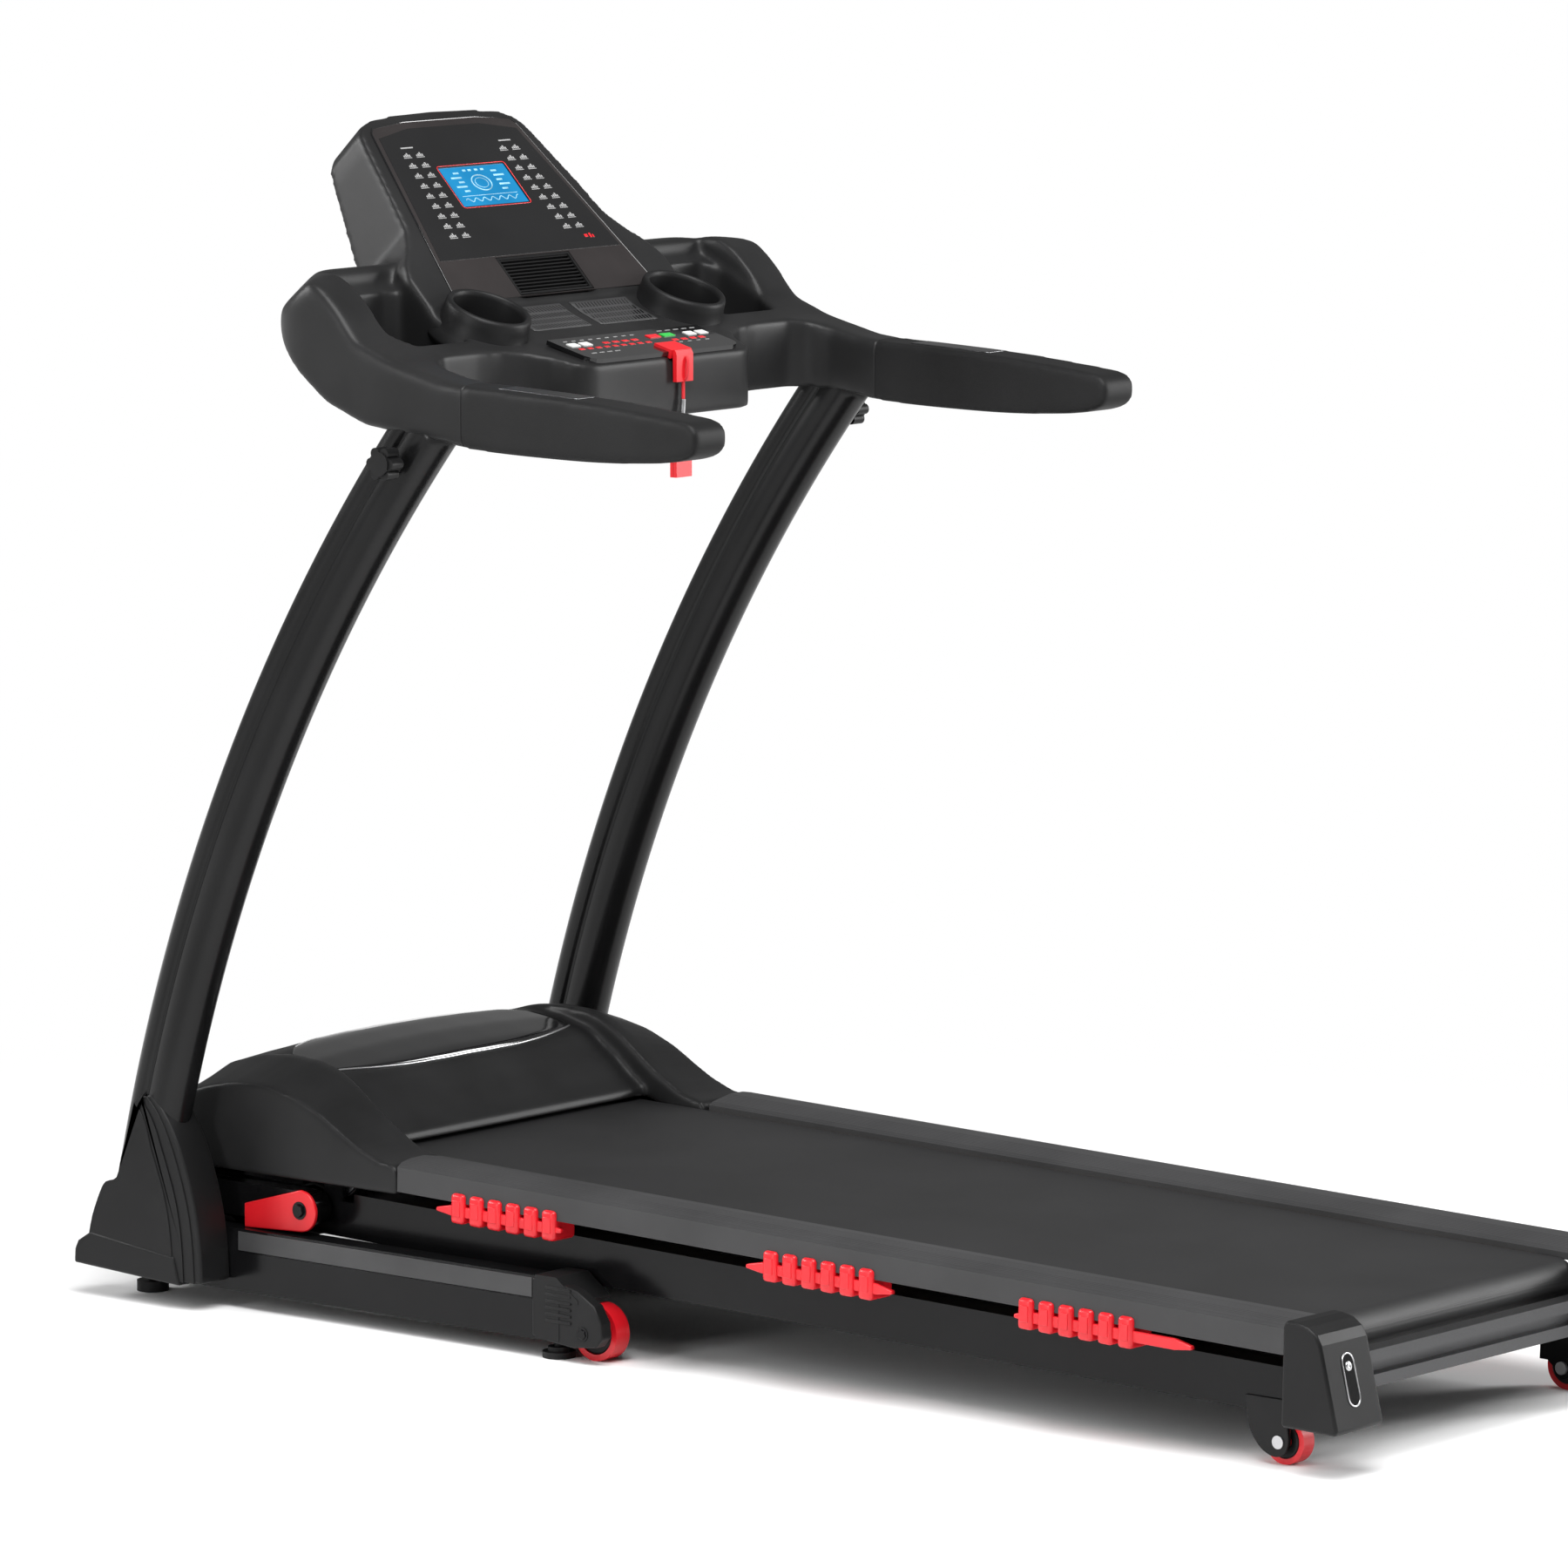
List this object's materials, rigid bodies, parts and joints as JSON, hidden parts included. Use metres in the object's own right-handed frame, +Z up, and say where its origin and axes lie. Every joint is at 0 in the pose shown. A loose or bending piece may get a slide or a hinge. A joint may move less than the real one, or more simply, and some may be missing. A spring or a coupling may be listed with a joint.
{
  "type": "treadmill",
  "caption": "Folding motorised treadmill with curved side uprights, a tilted display console with handlebars and cup holders, a cushioned running deck and a motor hood.",
  "frame": {"origin": "on the floor, under the middle of the bounding box", "axes": "+X across the machine to the right as a runner faces the console, +Y forward from the belt's tail to the console, +Z up"},
  "size_m": [0.812, 1.7033, 1.3112],
  "materials": {
    "gloss_black_steel": "gloss powder coat",
    "satin_graphite_steel": "satin metallic paint",
    "bare_steel": "brushed",
    "chrome_plate": "polished",
    "alloy": "satin",
    "black_plastic": "fine grained",
    "grey_plastic": "fine grained",
    "rail_grey": "ribbed non-slip",
    "gloss_black_plastic": "gloss",
    "red_plastic": "satin",
    "red_rubber": "matt",
    "black_rubber": "matt",
    "belt_fabric": "fine woven texture",
    "board_wood": "laminated",
    "screen_glass": "backlit",
    "green_key": "satin",
    "red_key": "satin",
    "white_key": "satin",
    "cord_weave": "braided"
  },
  "bodies": {
    "base": {"base_frame": "gloss_black_steel", "base_pins": "bare_steel", "upright_covers": "black_plastic", "tube_end_caps": "black_plastic", "front_feet": "black_rubber", "upright_left": "satin_graphite_steel", "upright_right": "satin_graphite_steel", "console_tub": "grey_plastic", "console_back": "grey_plastic", "display_overlay": "gloss_black_plastic", "display_screen": "screen_glass", "vent_grille": "black_plastic", "keypad": "gloss_black_plastic", "cup_holders": "black_plastic", "pulse_plates": "chrome_plate", "grips": "black_rubber"},
    "fold_pivots": {"fold_pivots": "bare_steel"},
    "incline_arms": {"incline_frame": "gloss_black_steel", "arm_covers": "red_plastic"},
    "deck": {"deck_frame": "gloss_black_steel", "deck_axles": "bare_steel", "deck_board": "board_wood", "running_belt": "belt_fabric", "rear_crossbar": "alloy", "rear_caps": "black_plastic", "side_rails": "rail_grey", "cushions": "red_rubber", "motor_hood": "grey_plastic", "hood_insert": "gloss_black_plastic", "belly_pan": "black_plastic", "drive_motor": "gloss_black_steel", "drive_belt": "black_rubber", "power_inlet": "black_plastic"},
    "safety_key": {"safety_key": "red_plastic", "safety_cord": "cord_weave", "clip_body": "red_plastic"},
    "clip_jaw": {"clip_jaw": "red_plastic"},
    "start_key": {"start_key": "green_key"},
    "stop_key": {"stop_key": "red_key"},
    "speed_up_key": {"speed_up_key": "white_key"},
    "speed_down_key": {"speed_down_key": "white_key"},
    "incline_up_key": {"incline_up_key": "white_key"},
    "incline_down_key": {"incline_down_key": "white_key"},
    "transport_wheel_left": {"transport_wheel_left": "red_rubber"},
    "transport_wheel_right": {"transport_wheel_right": "red_rubber"},
    "rear_foot_left": {"rear_foot_left": "black_rubber"},
    "rear_foot_right": {"rear_foot_right": "black_rubber"},
    "clamp_knob_left": {"clamp_knob_left": "black_plastic"},
    "clamp_knob_right": {"clamp_knob_right": "black_plastic"},
    "fan_rotor": {"fan_rotor": "black_plastic"},
    "front_roller": {"front_roller": "bare_steel"},
    "rear_roller": {"rear_roller": "bare_steel"},
    "flywheel": {"flywheel": "bare_steel"},
    "power_switch": {"power_switch": "black_plastic"},
    "lift_motor": {"lift_motor": "gloss_black_steel"},
    "lift_screw": {"lift_screw": "bare_steel"},
    "strut_cylinder": {"strut_cylinder": "gloss_black_steel"},
    "strut_rod": {"strut_rod": "chrome_plate"},
    "rear_wheel_left": {"rear_wheel_left": "red_rubber"},
    "rear_wheel_right": {"rear_wheel_right": "red_rubber"}
  },
  "joints": [
    {"name": "transport_wheel_left_spin", "type": "hinge", "parent": "base", "child": "transport_wheel_left", "pos_m": [-0.289, 0.15, 0.031], "axis": [1, 0, 0], "continuous": true},
    {"name": "rear_foot_left_turn", "type": "hinge", "parent": "base", "child": "rear_foot_left", "pos_m": [-0.306, 0.196, 0.006], "axis": [0, 0, 1], "continuous": true},
    {"name": "transport_wheel_right_spin", "type": "hinge", "parent": "base", "child": "transport_wheel_right", "pos_m": [0.289, 0.15, 0.031], "axis": [1, 0, 0], "continuous": true},
    {"name": "rear_foot_right_turn", "type": "hinge", "parent": "base", "child": "rear_foot_right", "pos_m": [0.306, 0.196, 0.006], "axis": [0, 0, 1], "continuous": true},
    {"name": "clamp_knob_left_turn", "type": "hinge", "parent": "base", "child": "clamp_knob_left", "pos_m": [-0.394, 0.36211, 0.968], "axis": [1, 0, 0], "continuous": true},
    {"name": "clamp_knob_right_turn", "type": "hinge", "parent": "base", "child": "clamp_knob_right", "pos_m": [0.394, 0.36211, 0.968], "axis": [1, 0, 0], "continuous": true},
    {"name": "fan_spin", "type": "hinge", "parent": "base", "child": "fan_rotor", "pos_m": [0, 0.49474, 1.12585], "axis": [0, -0.7206, 0.6934], "continuous": true},
    {"name": "start_key_press", "type": "slide", "parent": "base", "child": "start_key", "axis": [0, -0.2521, 0.9677], "range_m": [-0.001, 0], "stiffness_N_per_m": 800, "springref_m": 0.0005},
    {"name": "stop_key_press", "type": "slide", "parent": "base", "child": "stop_key", "axis": [0, -0.2521, 0.9677], "range_m": [-0.001, 0], "stiffness_N_per_m": 800, "springref_m": 0.0005},
    {"name": "speed_up_key_press", "type": "slide", "parent": "base", "child": "speed_up_key", "axis": [0, -0.2521, 0.9677], "range_m": [-0.001, 0], "stiffness_N_per_m": 800, "springref_m": 0.0005},
    {"name": "speed_down_key_press", "type": "slide", "parent": "base", "child": "speed_down_key", "axis": [0, -0.2521, 0.9677], "range_m": [-0.001, 0], "stiffness_N_per_m": 800, "springref_m": 0.0005},
    {"name": "incline_up_key_press", "type": "slide", "parent": "base", "child": "incline_up_key", "axis": [0, -0.2521, 0.9677], "range_m": [-0.001, 0], "stiffness_N_per_m": 800, "springref_m": 0.0005},
    {"name": "incline_down_key_press", "type": "slide", "parent": "base", "child": "incline_down_key", "axis": [0, -0.2521, 0.9677], "range_m": [-0.001, 0], "stiffness_N_per_m": 800, "springref_m": 0.0005},
    {"name": "safety_key_pull", "type": "slide", "parent": "base", "child": "safety_key", "axis": [0, -0.9677, -0.2521], "range_m": [0, 0.035]},
    {"name": "clip_jaw_open", "type": "hinge", "parent": "safety_key", "child": "clip_jaw", "pos_m": [0.011, 0.2924, 0.9595], "axis": [1, 0, 0], "range_deg": [0, 20], "stiffness_Nm_per_rad": 0.02, "springref_deg": -11.46},
    {"name": "deck_fold", "type": "hinge", "parent": "base", "child": "fold_pivots", "pos_m": [0, 0.745, 0.118], "axis": [-1, 0, 0], "range_deg": [0, 50]},
    {"name": "incline_lift", "type": "hinge", "parent": "fold_pivots", "child": "incline_arms", "pos_m": [0, 0.745, 0.118], "axis": [-1, 0, 0], "range_deg": [0, 25]},
    {"name": "deck_level", "type": "hinge", "parent": "incline_arms", "child": "deck", "pos_m": [0, 0.5765, 0.116], "axis": [-1, 0, 0], "range_deg": [-28.5, 0]},
    {"name": "front_roller_spin", "type": "hinge", "parent": "deck", "child": "front_roller", "pos_m": [0, 0.56044, 0.15369], "axis": [1, 0, 0], "continuous": true},
    {"name": "rear_roller_spin", "type": "hinge", "parent": "deck", "child": "rear_roller", "pos_m": [0, -0.75118, 0.1221], "axis": [1, 0, 0], "continuous": true},
    {"name": "flywheel_spin", "type": "hinge", "parent": "deck", "child": "flywheel", "pos_m": [0, 0.68999, 0.17382], "axis": [1, 0, 0], "continuous": true},
    {"name": "power_switch_rock", "type": "hinge", "parent": "deck", "child": "power_switch", "pos_m": [-0.223, 0.786, 0.138], "axis": [1, 0, 0], "range_deg": [0, 6]},
    {"name": "lift_motor_swing", "type": "hinge", "parent": "deck", "child": "lift_motor", "pos_m": [0.12, 0.65, 0.196], "axis": [-1, 0, 0], "range_deg": [0, 9.6]},
    {"name": "lift_screw_extend", "type": "slide", "parent": "lift_motor", "child": "lift_screw", "axis": [0, 0.1, -0.995], "range_m": [0, 0.038]},
    {"name": "strut_swing", "type": "hinge", "parent": "base", "child": "strut_cylinder", "pos_m": [0, 0.71, 0.05], "axis": [-1, 0, 0], "range_deg": [0, 50.5]},
    {"name": "strut_extend", "type": "slide", "parent": "strut_cylinder", "child": "strut_rod", "axis": [0, -0.9956, 0.0937], "range_m": [0, 0.065]},
    {"name": "rear_wheel_left_spin", "type": "hinge", "parent": "deck", "child": "rear_wheel_left", "pos_m": [-0.251, -0.7485, 0.025], "axis": [1, 0, 0], "continuous": true},
    {"name": "rear_wheel_right_spin", "type": "hinge", "parent": "deck", "child": "rear_wheel_right", "pos_m": [0.251, -0.7485, 0.025], "axis": [1, 0, 0], "continuous": true}
  ],
  "couplings": [
    {"joint": "deck_level", "follows": "incline_lift", "ratio": -1.124},
    {"joint": "lift_motor_swing", "follows": "incline_lift", "ratio": 0.375},
    {"joint": "lift_screw_extend", "follows": "incline_lift", "m_per_rad": 0.0855},
    {"joint": "strut_swing", "follows": "deck_fold", "ratio": 1.0044},
    {"joint": "strut_extend", "follows": "deck_fold", "m_per_rad": 0.073976},
    {"joint": "rear_roller_spin", "follows": "front_roller_spin", "ratio": 1},
    {"joint": "flywheel_spin", "follows": "front_roller_spin", "ratio": 2.0833}
  ]
}
